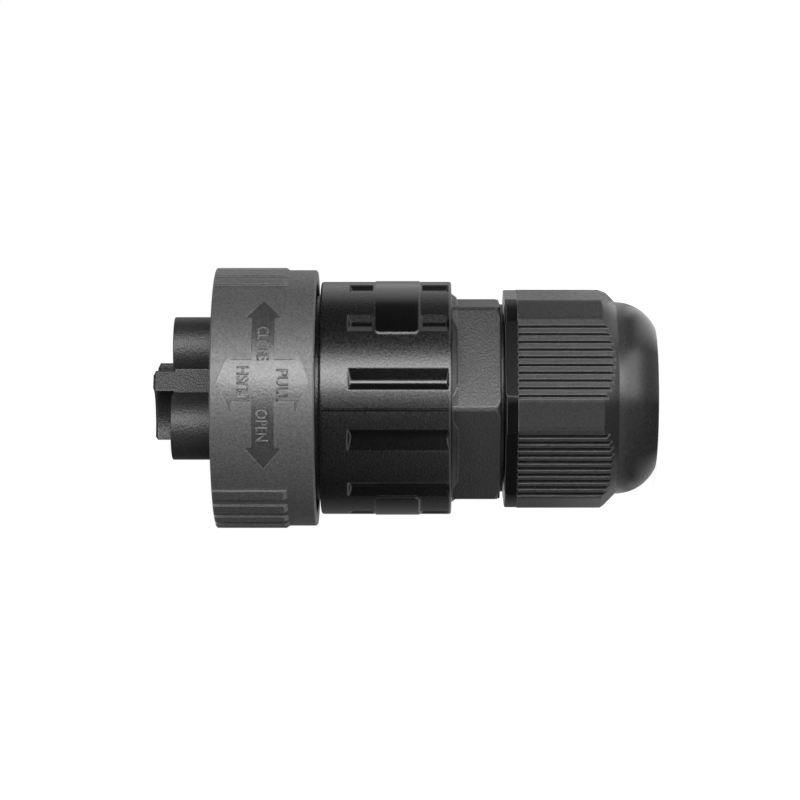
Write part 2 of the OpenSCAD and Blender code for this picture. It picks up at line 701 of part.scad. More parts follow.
// A turned socket contact: terminal end with its wire hole, socket end with slits and a spring ring's groove
module contact(a, lead) {
    z_end = z_tower - socket_inset + lead;
    z_groove = z_end - 4;
    color("#c9b27a") contact_place(a) difference() {
        union() {
            translate([0, 0, z_terminal]) cylinder(r = terminal_r, h = terminal_l - 0.05);
            translate([0, 0, z_shoulder - 1]) cylinder(r = socket_r, h = z_end - z_shoulder + 1);
        }
        translate([0, 0, z_terminal - 1]) cylinder(r = wire_r, h = wire_l + 1);
        translate([0, 0, z_end - socket_bore_l]) cylinder(r = socket_in_r, h = socket_bore_l + 1);
        translate([0, 0, z_end - 0.4]) cylinder(r1 = socket_in_r, r2 = socket_in_r + 0.45, h = 0.45);
        for (s = [0, 90])
            rotate([0, 0, s]) translate([-5, -slit_w / 2, z_end - slit_l]) cube([10, slit_w, slit_l + 1]);
        rotate_extrude() translate([socket_r - spring_t, z_groove - 0.05]) square([2, spring_w + 0.1]);
        translate([0, 0, z_screw]) rotate([0, 90, 0]) cylinder(r = screw_d / 2 + screw_gap, h = 10);
    }
}

// Spring ring that presses the slit socket onto the pin
module spring(a, lead) {
    z_groove = z_tower - socket_inset + lead - 4;
    color("#b9bcc0") contact_place(a) sector(spring_open_deg / 2, 360 - spring_open_deg / 2)
        translate([socket_r - spring_t + 0.02, z_groove]) square([spring_t - 0.02, spring_w]);
}

// Terminal screw, its head outside and its point on the wire guard
module screw(a) {
    color("#c2c4c6") contact_place(a) translate([0, 0, z_screw]) rotate([0, 90, 0]) difference() {
        union() {
            translate([0, 0, wire_r - 0.2]) cylinder(r = screw_d / 2, h = head_seat - wire_r + 0.3);
            translate([0, 0, head_seat]) cylinder(r = screw_head_d / 2, h = screw_head_h);
        }
        translate([-5, -driver_w / 2, head_seat + screw_head_h - 0.8]) cube([10, driver_w, 2]);
    }
}

// Thin leaf between the screw's point and the strands of the wire
module guard(a) {
    r = wire_r - 0.3;
    color("#b9bcc0") contact_place(a) rotate([0, 0, 90]) sector(-50, 50)
        translate([r - guard_t, z_terminal + 0.3]) square([guard_t, wire_l - 1]);
}

module contact_line() {
    contact(line_angle, 0);
}

module contact_neutral() {
    contact(neutral_angle, 0);
}

module contact_earth() {
    contact(earth_angle, earth_lead);
}

module spring_line() {
    spring(line_angle, 0);
}

module spring_neutral() {
    spring(neutral_angle, 0);
}

module spring_earth() {
    spring(earth_angle, earth_lead);
}

module screw_line() {
    screw(line_angle);
}

module screw_neutral() {
    screw(neutral_angle);
}

module screw_earth() {
    screw(earth_angle);
}

module guard_line() {
    guard(line_angle);
}

module guard_neutral() {
    guard(neutral_angle);
}

module guard_earth() {
    guard(earth_angle);
}

housing();
contact_insert();
contact_retainer();
locking_ring();
gland_nut();
clamp_cage();
gland_seal();
face_seal();
insert_oring();
contact_line();
contact_neutral();
contact_earth();
spring_line();
spring_neutral();
spring_earth();
screw_line();
screw_neutral();
screw_earth();
guard_line();
guard_neutral();
guard_earth();
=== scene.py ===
# %% [markdown]
# # A three-pole cable connector
# The object is a power connector for the end of a cable: a contact insert with three towers, a locking ring,
# a glossy barrel with a spanner hexagon, and the gland nut that grips the cable. Its solids were made first
# and come in here as a fixed frame. This lesson gives them their finishes, and adds the fine things that the
# solids leave out: the arrows and words on the ring, the gland thread and the barrel's parting lines.

# %% Load the frame
import math
import bmesh
import bpy
from mathutils import Matrix, Vector


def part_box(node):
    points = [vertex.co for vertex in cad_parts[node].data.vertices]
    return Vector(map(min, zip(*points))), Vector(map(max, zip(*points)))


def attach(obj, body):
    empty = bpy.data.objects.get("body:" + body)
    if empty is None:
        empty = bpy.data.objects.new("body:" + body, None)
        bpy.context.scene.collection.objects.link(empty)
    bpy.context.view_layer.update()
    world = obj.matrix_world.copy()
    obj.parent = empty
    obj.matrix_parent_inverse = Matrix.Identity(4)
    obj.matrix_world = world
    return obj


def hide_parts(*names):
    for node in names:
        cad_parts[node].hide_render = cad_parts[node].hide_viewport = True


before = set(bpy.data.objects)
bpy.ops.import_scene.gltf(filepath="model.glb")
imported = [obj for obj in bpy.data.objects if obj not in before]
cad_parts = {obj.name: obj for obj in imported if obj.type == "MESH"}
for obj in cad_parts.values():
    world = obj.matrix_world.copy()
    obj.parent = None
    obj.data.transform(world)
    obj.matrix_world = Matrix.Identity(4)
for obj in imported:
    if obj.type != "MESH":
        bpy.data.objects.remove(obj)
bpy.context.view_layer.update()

MM = 0.001

# %% [markdown]
# ## Camera
# The photograph shows the connector lying across the picture, with its contacts to the left. The model stands
# on its gland nut instead, so the camera is rolled a quarter turn: the picture's left is up on the model.
# Turning the model would do as well, but the solids must stay where they are. The camera's distance comes
# from how much nearer edges grow in the photograph, and a long lens then gives the photograph's frame.

# %% Camera
AXIS_TURN = math.radians(-24.2)
CAMERA_DISTANCE = 514 * MM
CAMERA_HEIGHT = 35.3 * MM
AIM_HEIGHT = 39.1 * MM
AIM_DROP = 0.32 * MM
to_camera = Vector((math.sin(AXIS_TURN), -math.cos(AXIS_TURN), 0))
picture_up = Vector((math.cos(AXIS_TURN), math.sin(AXIS_TURN), 0))
picture_left = Vector((0, 0, 1))


def place_object(thing, point, x_axis, z_axis):
    axes = Matrix((x_axis, z_axis.cross(x_axis), z_axis)).transposed()
    thing.matrix_world = Matrix.Translation(point) @ axes.to_4x4()


camera = bpy.data.objects.new("camera", bpy.data.cameras.new("camera"))
bpy.context.scene.collection.objects.link(camera)
bpy.context.scene.camera = camera
camera.data.sensor_width = 36
camera.data.lens = 150.3
camera.data.clip_start = 0.02
camera.data.clip_end = 50
camera_point = to_camera * CAMERA_DISTANCE + picture_left * CAMERA_HEIGHT
aim = picture_left * AIM_HEIGHT - picture_up * AIM_DROP
backward = (camera_point - aim).normalized()
place_object(camera, camera_point, picture_up.cross(backward).normalized(), backward)
bpy.context.scene.view_settings.view_transform = "Standard"
print("camera at", [round(v, 4) for v in camera_point])

# %% [markdown]
# ## Colours and nodes
# Colours are written as the hex values that a screen shows, and Blender's shaders want linear light, so one
# function turns one into the other. A second small function starts a material with no nodes, and a third adds
# a shader node, sets it and links it, which keeps the materials below short.

# %% Three helpers
def linear(hex_colour):
    channels = [int(hex_colour[i:i + 2], 16) / 255 for i in (1, 3, 5)]
    return [c / 12.92 if c <= 0.04045 else ((c + 0.055) / 1.055) ** 2.4 for c in channels] + [1.0]


def empty_material(name):
    material = bpy.data.materials.new(name)
    material.use_nodes = True
    material.node_tree.nodes.clear()
    return material


def add(tree, kind, values=None, links=None, **settings):
    made = tree.nodes.new(kind)
    for name, value in settings.items():
        setattr(made, name, value)
    for socket, value in (values or {}).items():
        made.inputs[socket].default_value = value
    for socket, source in (links or {}).items():
        tree.links.new(source, made.inputs[socket])
    return made


print("mid grey in linear light:", [round(c, 3) for c in linear("#808080")])

# %% [markdown]
# ## Studio
# The photograph was taken in a white studio. Black plastic has little colour of its own and shows its
# surroundings: a bright bar where it mirrors the softbox, pale rims where it mirrors the white sheet behind
# the object, and deep black where it mirrors the dark room. A picture of a studio could be wrapped round the
# scene, but a few smooth ramps do the same and can be set one by one. The camera sees plain white all round.
# A mirrored ray sees a pale sheet at the back, a brighter band 48 degrees up on it, and a dim room in front.
# All other light from the world is a calm grey.

# %% World
BAND_TURN = 180 - 48
ROOM_LIGHT = 0.15


def from_lens(degrees_up):
    up = math.radians(degrees_up)
    return to_camera * math.cos(up) + picture_up * math.sin(up)


behind = from_lens(BAND_TURN)
world = bpy.data.worlds.new("studio")
bpy.context.scene.world = world
world.use_nodes = True
tree = world.node_tree
tree.nodes.clear()
path = add(tree, "ShaderNodeLightPath")
direction = add(tree, "ShaderNodeTexCoord").outputs["Generated"]
to_band = add(tree, "ShaderNodeVectorMath", {1: behind}, {0: direction}, operation="DOT_PRODUCT")
band = add(tree, "ShaderNodeMapRange", {"From Min": 0.88, "From Max": 1.0, "To Min": 0.0, "To Max": 0.6},
           {"Value": to_band.outputs["Value"]}, interpolation_type="SMOOTHSTEP")
to_back = add(tree, "ShaderNodeVectorMath", {1: -to_camera}, {0: direction}, operation="DOT_PRODUCT")
sheet = add(tree, "ShaderNodeMapRange", {"From Min": 0.3, "From Max": 0.8, "To Min": 0.03, "To Max": 0.2},
            {"Value": to_back.outputs["Value"]}, interpolation_type="SMOOTHSTEP")
studio = add(tree, "ShaderNodeMath", links={0: band.outputs["Result"], 1: sheet.outputs["Result"]},
             operation="ADD")
mirrored = add(tree, "ShaderNodeMix", {"A": ROOM_LIGHT},
               {"Factor": path.outputs["Is Glossy Ray"], "B": studio.outputs[0]}, data_type="FLOAT")
seen = add(tree, "ShaderNodeMath", operation="MAXIMUM",
           links={0: path.outputs["Is Camera Ray"], 1: path.outputs["Is Transmission Ray"]})
level = add(tree, "ShaderNodeMix", {"B": 1.0},
            {"Factor": seen.outputs[0], "A": mirrored.outputs["Result"]}, data_type="FLOAT")
ground = add(tree, "ShaderNodeBackground", {"Color": (1, 1, 1, 1)}, {"Strength": level.outputs["Result"]})
add(tree, "ShaderNodeOutputWorld", links={"Surface": ground.outputs[0]})
print("world nodes:", len(tree.nodes))

# %% [markdown]
# ## Lamps
# One broad softbox stands above the lens and to the contacts' side. It makes the bright bar along the barrel
# and the ring. A large weak lamp behind the object gives the pale upper edges, and a small one near the
# contacts lights the towers from below. Lamps could be placed by their coordinates, but here each is placed
# by the angles at which a photographer would set it: up from the lens, and round towards the picture's left.

# %% Lamps
LAMP_AIM = picture_left * 40 * MM


def softbox(name, degrees_up, degrees_left, distance, size_left, size_up, watts):
    left = math.radians(degrees_left)
    outward = (from_lens(degrees_up) * math.cos(left) + picture_left * math.sin(left)).normalized()
    lamp = bpy.data.lights.new(name, "AREA")
    lamp.shape = "RECTANGLE"
    lamp.size = size_left
    lamp.size_y = size_up
    lamp.energy = watts
    holder = bpy.data.objects.new(name, lamp)
    bpy.context.scene.collection.objects.link(holder)
    holder.visible_camera = False
    sideways = (picture_left - outward * picture_left.dot(outward)).normalized()
    place_object(holder, LAMP_AIM + outward * distance, sideways, outward)


softbox("main_softbox", degrees_up=24, degrees_left=25, distance=0.9, size_left=0.9, size_up=0.44, watts=7.7)
softbox("back_sheet", degrees_up=165, degrees_left=10, distance=1.1, size_left=1.2, size_up=1.0, watts=0.5)
softbox("contact_side_fill", degrees_up=-20, degrees_left=62, distance=0.9, size_left=0.5, size_up=0.5,
        watts=1.2)

# %% [markdown]
# ## Floor
# The connector stands on white paper, which lies at the picture's right. The camera sees it as white, with
# the object's soft shadow. The domed end of the nut and its cone face this paper, so what they mirror decides
# how they look. A plain white floor would make them pale all over. Here a mirrored ray meets paper with
# painted light and a painted shadow. It glows, for mirrored rays only, in places found by the distance from
# the connector's axis and by the direction round it: a painted pool of light under the softbox, a painted
# shadow where the object would shade it, a little painted light below the lens and far behind, and a painted
# bright patch on both sides of the foot.

# %% Floor plane
FLOOR_REACH = 4.0
FLOOR_DROP = 0.1 * MM
square = ((-1, -1), (1, -1), (1, 1), (-1, 1))
floor_corners = [(x * FLOOR_REACH, y * FLOOR_REACH, -FLOOR_DROP) for x, y in square]
floor_mesh = bpy.data.meshes.new("floor")
floor_mesh.from_pydata(floor_corners, [], [(0, 1, 2, 3)])
floor = bpy.data.objects.new("floor", floor_mesh)
bpy.context.scene.collection.objects.link(floor)
white_paper = empty_material("white_paper_sweep")
tree = white_paper.node_tree
print("floor reaches", FLOOR_REACH, "m each way")

# %% Painted light and shadow on the floor
point = add(tree, "ShaderNodeNewGeometry").outputs["Position"]
flat = add(tree, "ShaderNodeVectorMath", {1: (1, 1, 0)}, {0: point}, operation="MULTIPLY").outputs[0]
distance = add(tree, "ShaderNodeVectorMath", links={0: flat}, operation="LENGTH").outputs["Value"]
direction = add(tree, "ShaderNodeVectorMath", links={0: flat}, operation="NORMALIZE").outputs[0]

# each patch of painted light: the direction of its middle, the cosines from there at which it starts and is
# full, and how bright it is; the rear half paints nothing, and only tells the rear of the foot from its front
PATCHES = {"under_lamp": (from_lens(20), 0.895, 0.985, 2.6), "below_lens": (from_lens(-40), 0.6, 0.95, 0.28),
           "far_back": (behind, 0.4, 0.9, 0.12), "upper_side": (picture_up, 0.42, 0.95, 1.2),
           "lower_side": (-picture_up, 0.6, 0.95, 0.5), "rear_half": (-to_camera, -0.2, 0.25, 1.0)}
# each ring paints light by distance, and near the foot a painted shadow: the distances in mm between which it
# changes, and its brightness at both
RINGS = {"shade": (13, 19, 0.12, 1.0), "spill": (20, 60, 0.12, 0.6), "fade": (120, 400, 1.0, 0.06),
         "front_foot": (13, 23, 1.0, 0.0), "rear_foot": (22, 50, 1.0, 0.0)}
painted_light = {}
for name, (middle, start, full, bright) in PATCHES.items():
    cosine = add(tree, "ShaderNodeVectorMath", {1: middle}, {0: direction}, operation="DOT_PRODUCT")
    ramp = {"From Min": start, "From Max": full, "To Min": 0.0, "To Max": bright}
    painted_light[name] = add(tree, "ShaderNodeMapRange", ramp, {"Value": cosine.outputs["Value"]},
                    interpolation_type="SMOOTHSTEP").outputs["Result"]
for name, (near_mm, far_mm, near_bright, far_bright) in RINGS.items():
    ramp = {"From Min": near_mm * MM, "From Max": far_mm * MM, "To Min": near_bright, "To Max": far_bright}
    painted_light[name] = add(tree, "ShaderNodeMapRange", ramp, {"Value": distance},
                    interpolation_type="SMOOTHSTEP").outputs["Result"]
print("lit places:", list(painted_light))

# %% Painted light that a mirrored ray meets
BELOW_MIDDLE = 310 * MM
BELOW_HALF = 230 * MM
around = add(tree, "ShaderNodeMath", links={0: painted_light["spill"], 1: painted_light["fade"]}, operation="MULTIPLY")
front = add(tree, "ShaderNodeMath", links={0: painted_light["under_lamp"], 1: painted_light["shade"], 2: around.outputs[0]},
            operation="MULTIPLY_ADD")
stretch = add(tree, "ShaderNodeMath", {1: BELOW_MIDDLE, 2: BELOW_HALF}, {0: distance}, operation="COMPARE")
near_side = add(tree, "ShaderNodeMath", operation="MULTIPLY_ADD",
                links={0: painted_light["below_lens"], 1: stretch.outputs[0], 2: front.outputs[0]})
sides = add(tree, "ShaderNodeMath", links={0: painted_light["upper_side"], 1: painted_light["lower_side"]}, operation="ADD")
foot = add(tree, "ShaderNodeMix", data_type="FLOAT",
           links={"Factor": painted_light["rear_half"], "A": painted_light["front_foot"], "B": painted_light["rear_foot"]})
rim = add(tree, "ShaderNodeMath", links={0: sides.outputs[0], 1: foot.outputs["Result"]},
          operation="MULTIPLY")
far_side = add(tree, "ShaderNodeMath", links={0: painted_light["far_back"], 1: rim.outputs[0]}, operation="MAXIMUM")
mirrored = add(tree, "ShaderNodeMath", links={0: near_side.outputs[0], 1: far_side.outputs[0]},
               operation="MAXIMUM")
print("floor nodes so far:", len(tree.nodes))

# %% White paper
# plain paper: an even white to the camera, and to a mirrored ray a glow of painted light and painted shadow
PAPER_WHITE = 0.92
# the glow is painted light: the paper gives it off to mirrored rays only, though it is no lamp
painted_glow = add(tree, "ShaderNodeBsdfPrincipled", {"Base Color": (0, 0, 0, 1), "Roughness": 0.08,
            "Emission Color": (1, 1, 1, 1)}, {"Emission Strength": mirrored.outputs[0]})
path = add(tree, "ShaderNodeLightPath")
seen = add(tree, "ShaderNodeMath", operation="MAXIMUM",
           links={0: path.outputs["Is Camera Ray"], 1: path.outputs["Is Transmission Ray"]})
white = add(tree, "ShaderNodeMath", {1: PAPER_WHITE}, {0: seen.outputs[0]}, operation="MULTIPLY")
glow = add(tree, "ShaderNodeEmission", {"Color": (1, 1, 1, 1)}, {"Strength": white.outputs[0]})
matte = add(tree, "ShaderNodeBsdfDiffuse", {"Color": linear("#c8c8c8")})
plain = add(tree, "ShaderNodeAddShader", links={0: glow.outputs[0], 1: matte.outputs[0]})
both = add(tree, "ShaderNodeMixShader",
           links={0: path.outputs["Is Glossy Ray"], 1: plain.outputs[0], 2: painted_glow.outputs[0]})
add(tree, "ShaderNodeOutputMaterial", links={"Surface": both.outputs[0]})
floor_mesh.materials.append(white_paper)
print("floor nodes:", len(tree.nodes))

# %% [markdown]
# ## Zones of a moulding
# One moulding can have several finishes, because its mould has several inserts: the housing's hexagon is
# satin, its barrel is glossy and the grip troughs are polished. Materials could be given face by face, but
# the faces may come in another order when the solids are built again. So a zone is a function that finds a
# finish by height or by distance from the axis, since an object's own coordinates are places on the piece.

# %% Find a zone
def between(low_mm, high_mm):
    def zone(tree, place):
        height = add(tree, "ShaderNodeSeparateXYZ", links={0: place}).outputs["Z"]
        middle = (low_mm + high_mm) / 2 * MM
        half = (high_mm - low_mm) / 2 * MM
        return add(tree, "ShaderNodeMath", {1: middle, 2: half}, {0: height}, operation="COMPARE").outputs[0]
    return zone


def axis_distance(tree, place):
    flat = add(tree, "ShaderNodeVectorMath", {1: (1, 1, 0)}, {0: place}, operation="MULTIPLY")
    return add(tree, "ShaderNodeVectorMath", links={0: flat.outputs[0]}, operation="LENGTH").outputs["Value"]


def off_skin(r_mm, play_mm, low_mm, high_mm):
    def zone(tree, place):
        skin = add(tree, "ShaderNodeMath", {1: r_mm * MM, 2: play_mm * MM}, {0: axis_distance(tree, place)},
                   operation="COMPARE")
        inside = between(low_mm, high_mm)(tree, place)
        return add(tree, "ShaderNodeMath", links={0: inside, 1: skin.outputs[0]}, operation="SUBTRACT",
                   use_clamp=True).outputs[0]
    return zone


print("zone helpers:", between.__name__, off_skin.__name__)

# %% Lay zones over a plain finish
def zoned(tree, place, tone, dull, depth, zones):
    for zone, zone_roughness, zone_depth, zone_colour in zones:
        inside = zone(tree, place)
        tone = add(tree, "ShaderNodeMix", {"B": linear(zone_colour)}, {"Factor": inside, "A": tone},
                   data_type="RGBA").outputs["Result"]
        dull = add(tree, "ShaderNodeMix", {"B": zone_roughness}, {"Factor": inside, "A": dull},
                   data_type="FLOAT").outputs["Result"]
        depth = add(tree, "ShaderNodeMix", {"B": zone_depth}, {"Factor": inside, "A": depth},
                    data_type="FLOAT").outputs["Result"]
    return tone, dull, depth


print("zone mixer:", zoned.__name__)

# %% [markdown]
# ## Edges and crowns
# A mould never leaves a knife edge, and handling rubs edges smoother and paler. The paler tint at the edges
# is partly that wear and partly a painted highlight, standing for the light that a rounded edge catches.
# Rounding each edge of the mesh would take many faces, so the bevel node bends the light there instead, and
# how far it bends the normal tells where an edge is. Large moulded flats also come out a trace crowned. A
# shallow dome of radius R falls by the square of the distance over 2 R, and a bump of that height gives the
# hexagon's flats a soft change of tone.

# %% Edges and crowns
EDGE_SAMPLES = 6


def handled_edge(tree, tone, dull, edge_mm, edge_wear_and_highlight_colour):
    edge = add(tree, "ShaderNodeBevel", {"Radius": edge_mm * MM}, samples=EDGE_SAMPLES).outputs["Normal"]
    true = add(tree, "ShaderNodeNewGeometry").outputs["Normal"]
    cosine = add(tree, "ShaderNodeVectorMath", links={0: edge, 1: true}, operation="DOT_PRODUCT")
    # where the normal bends, the colour turns paler: partly wear, partly a painted highlight on the edge
    worn_and_highlit = add(tree, "ShaderNodeMapRange", {"From Min": 0.99, "From Max": 0.85, "To Min": 0.0, "To Max": 0.5},
               {"Value": cosine.outputs["Value"]})
    paler_and_highlit = add(tree, "ShaderNodeMix", {"B": linear(edge_wear_and_highlight_colour)},
                {"Factor": worn_and_highlit.outputs["Result"], "A": tone}, data_type="RGBA")
    rubbed = add(tree, "ShaderNodeMapRange", {"From Min": 0.998, "From Max": 0.975, "To Min": 1.0,
                 "To Max": 0.5}, {"Value": cosine.outputs["Value"]})
    smoother = add(tree, "ShaderNodeMath", links={0: dull, 1: rubbed.outputs["Result"]}, operation="MULTIPLY")
    return edge, paler_and_highlit.outputs["Result"], smoother.outputs[0]


def crowned(tree, place, normal, zone, crown_mm):
    square = add(tree, "ShaderNodeMath", {1: 2.0}, {0: axis_distance(tree, place)}, operation="POWER")
    fall = add(tree, "ShaderNodeMath", {1: -0.5 / (crown_mm * MM)}, {0: square.outputs[0]},
               operation="MULTIPLY")
    return add(tree, "ShaderNodeBump", {"Distance": 1.0}, {"Strength": zone(tree, place),
               "Height": fall.outputs[0], "Normal": normal}).outputs["Normal"]


print("edges are read with", EDGE_SAMPLES, "samples")

# %% [markdown]
# ## Moulded polyamide
# All the outer pieces are black glass-filled polyamide, with an index of refraction near 1.53, but each mould
# cavity was finished its own way. A spark-eroded cavity leaves a matte grain that scatters light and looks
# grey, and a polished one leaves a gloss that mirrors the softbox. The real grain is about 0.1 mm, which is
# under a pixel here, so it is drawn about three times coarser. It does several jobs at once: it bumps the
# surface by up to a few hundredths of a millimetre, makes specks of paler colour (speck), makes specks duller
# or glossier (fleck), and on matte pieces it breaks up a soft second reflection (coat). Slow clouds, some
# 7 mm wide, keep the gloss from being the same all over, as where plastic flowed into the mould.

# %% Grain of a matte skin
COAT_PATCHES = 0.45


def grit_of(tree, place, grain_mm):
    grain = add(tree, "ShaderNodeTexNoise", {"Scale": 1 / (grain_mm * MM), "Detail": 3.0, "Roughness": 0.6},
                {"Vector": place})
    return add(tree, "ShaderNodeMapRange", {"From Min": 0.3, "From Max": 0.7},
               {"Value": grain.outputs["Fac"]}).outputs["Result"]


def coat_of(tree, depth, grit, coat):
    patch_range = {"To Min": (1 - COAT_PATCHES) * coat, "To Max": (1 + COAT_PATCHES) * coat}
    patchy = add(tree, "ShaderNodeMapRange", patch_range, {"Value": grit})
    return add(tree, "ShaderNodeMath", links={0: depth, 1: patchy.outputs["Result"]},
               operation="MULTIPLY").outputs[0]


print("a grain of 0.3 mm has a noise scale of", round(1 / (0.3 * MM)), "per metre")

# %% A function for moulded plastic
CLOUD_MM = 7
CLOUD_GLOSS = 0.05
COAT_IOR = 1.7


# the edge tint at handled edges stands partly for wear and partly for a painted highlight
def moulded(name, hex_colour, roughness, grain_mm, grain_height_mm, edge_mm=0.15, ior=1.53, specular=0.9,
            speck=1.35, edge_wear_and_highlight_colour="#5a5a5b", fleck=0.0, coat=0.0, coat_roughness=0.4, zones=(), crown=None):
    material = empty_material(name)
    tree = material.node_tree
    place = add(tree, "ShaderNodeTexCoord").outputs["Object"]
    grit = grit_of(tree, place, grain_mm)
    cloud = add(tree, "ShaderNodeTexNoise", {"Scale": 1 / (CLOUD_MM * MM), "Detail": 2.0},
                {"Vector": place}).outputs["Fac"]

    # the plain finish, and then the zones over it
    colour = linear(hex_colour)
    tone = add(tree, "ShaderNodeMix", {"A": colour, "B": [min(1, c * speck) for c in colour]},
               {"Factor": grit}, data_type="RGBA").outputs["Result"]
    gloss_range = {"To Min": roughness - CLOUD_GLOSS, "To Max": roughness + CLOUD_GLOSS}
    dull = add(tree, "ShaderNodeMapRange", gloss_range, {"Value": cloud}).outputs["Result"]
    depth = add(tree, "ShaderNodeMapRange", {"To Min": 0.9, "To Max": 1.0},
                {"Value": cloud}).outputs["Result"]
    tone, dull, depth = zoned(tree, place, tone, dull, depth, zones)

    # flecks in the gloss, handled edges with their paler tint (partly wear, partly a painted highlight), and
    # then the grain as a bump over the rest
    specks = add(tree, "ShaderNodeMapRange", {"To Min": 1 + fleck, "To Max": 1 - fleck}, {"Value": grit})
    flecked = add(tree, "ShaderNodeMath", links={0: dull, 1: specks.outputs["Result"]}, operation="MULTIPLY")
    normal, tone, dull = handled_edge(tree, tone, flecked.outputs[0], edge_mm, edge_wear_and_highlight_colour)
    if crown:
        normal = crowned(tree, place, normal, *crown)
    skin = add(tree, "ShaderNodeBump", {"Distance": grain_height_mm * MM},
               {"Strength": depth, "Height": grit, "Normal": normal})

    values = {"IOR": ior, "Specular IOR Level": specular}
    links = {"Base Color": tone, "Roughness": dull, "Normal": skin.outputs["Normal"]}
    if coat:
        links["Coat Weight"] = coat_of(tree, depth, grit, coat)
        values.update({"Coat Roughness": coat_roughness, "Coat IOR": COAT_IOR})
    shader = add(tree, "ShaderNodeBsdfPrincipled", values, links)
    add(tree, "ShaderNodeOutputMaterial", links={"Surface": shader.outputs[0]})
    return material


print("gloss clouds are", CLOUD_MM, "mm wide")

# %% [markdown]
# ## Plastics of this connector
# Each plastic piece gets the finish of its own mould. The matte ring is the palest, because its rough skin
# sends light everywhere. The barrel is the darkest and glossiest. The nut lies between them, with a
# mirror-bright collar. One plastic for all would be quicker, but the eye tells the pieces apart by their
# gloss. A zone gives its roughness, its share of the grain's height and its colour.

# %% Ring and arrows
# a pale edge tint: partly wear, partly a painted highlight along the edges
WORN_EDGE_AND_HIGHLIGHT = "#8c8c8d"

# spark-eroded: a dull grey skin with a broad soft highlight and fine pale specks
ring_plastic = moulded("polyamide_spark_eroded", "#323233", roughness=0.6, grain_mm=0.34,
                       grain_height_mm=0.024, speck=2.6, edge_wear_and_highlight_colour=WORN_EDGE_AND_HIGHLIGHT, coat=0.77,
                       coat_roughness=0.46)
# etched: the sunk arrows are smoother, so they look darker, with a narrower highlight
arrow_plastic = moulded("polyamide_etched_arrow", "#2b2b2c", roughness=0.34, grain_mm=0.34,
                        grain_height_mm=0.03, speck=2.6, coat=0.42, coat_roughness=0.28)
print("ring finishes:", ring_plastic.name, arrow_plastic.name)

# %% Housing, nut and insert
HEX_LOW = 23.0
HEX_TOP = 31.2
HEX_CHAMFER = 0.9
HEX_CROWN = 91
ABOVE_ALL = 80
BARREL_R = 17.865
BARREL_PLAY = 0.04
BARREL_TOP = 51.2
TROUGH_LOW = HEX_TOP + 0.4
TROUGH_TOP = BARREL_TOP - 0.5
COLLAR_LOW = 21.3
NUT_TOP = 23.3

# glossy: a satin hexagon, a barrel that mirrors the softbox as a speckled bar, and troughs like black mirrors
barrel_zone = (between(HEX_TOP, ABOVE_ALL), 0.29, 0.34, "#0a0a0b")
trough_zone = (off_skin(BARREL_R, BARREL_PLAY, TROUGH_LOW, TROUGH_TOP), 0.17, 0.12, "#050506")
barrel_plastic = moulded("polyamide_barrel", "#1e1e1f", roughness=0.46, grain_mm=0.32, grain_height_mm=0.03,
                         edge_mm=0.4, fleck=0.24, zones=[barrel_zone, trough_zone],
                         crown=(between(HEX_LOW, HEX_TOP - HEX_CHAMFER), HEX_CROWN))
# satin: a smooth dark grey with soft lights on the dome, pale rib edges (partly wear, partly a painted
# highlight) and a polished collar
collar_zone = (between(COLLAR_LOW, NUT_TOP), 0.09, 0.08, "#0a0a0b")
nut_plastic = moulded("polyamide_satin", "#2c2c2d", roughness=0.27, grain_mm=0.3, grain_height_mm=0.008,
                      edge_mm=0.2, specular=0.46, speck=2.0, edge_wear_and_highlight_colour=WORN_EDGE_AND_HIGHLIGHT, zones=[collar_zone])
# fine grained: black, with a grain that sparkles where it is lit
insert_plastic = moulded("polyamide_insert", "#1c1c1d", roughness=0.44, grain_mm=0.3, grain_height_mm=0.036,
                         edge_mm=0.25, specular=0.75, speck=1.8)
print("outer finishes:", barrel_plastic.name, nut_plastic.name, insert_plastic.name)

# %% Clamp cage and rubber
# undyed polyamide: a mid grey with a quiet shine
cage_plastic = moulded("polyamide_natural_grey", "#6a6d70", roughness=0.45, grain_mm=0.3,
                       grain_height_mm=0.004)
# moulded rubber: dark and dull, with hardly any highlight
rubber = moulded("moulded_rubber", "#2b2c2d", roughness=0.7, grain_mm=0.3, grain_height_mm=0.006, ior=1.52)
print("inner finishes:", cage_plastic.name, rubber.name)

# %% [markdown]
# ## Metal
# The sockets are turned from brass and tin plated, the screws are zinc-plated steel, and the spring rings and
# wire guards are bright rolled strip. Metal has no colour of its own beneath its reflection, so it only needs
# a tint and fine marks across its length. Marks could be cut as grooves, but they are a tenth of a millimetre
# apart, so a wave pattern that bumps the light is enough. They are too fine to show, so they are drawn about
# six times coarser. A wave texture runs through 20 radians in one unit.

# %% Metal finishes
WAVE_RADIANS = 20
MARKS_COARSER = 2 * math.pi
MARK_HEIGHT = 0.003
MARK_SHINE = 0.05
MARK_DULL = 0.08


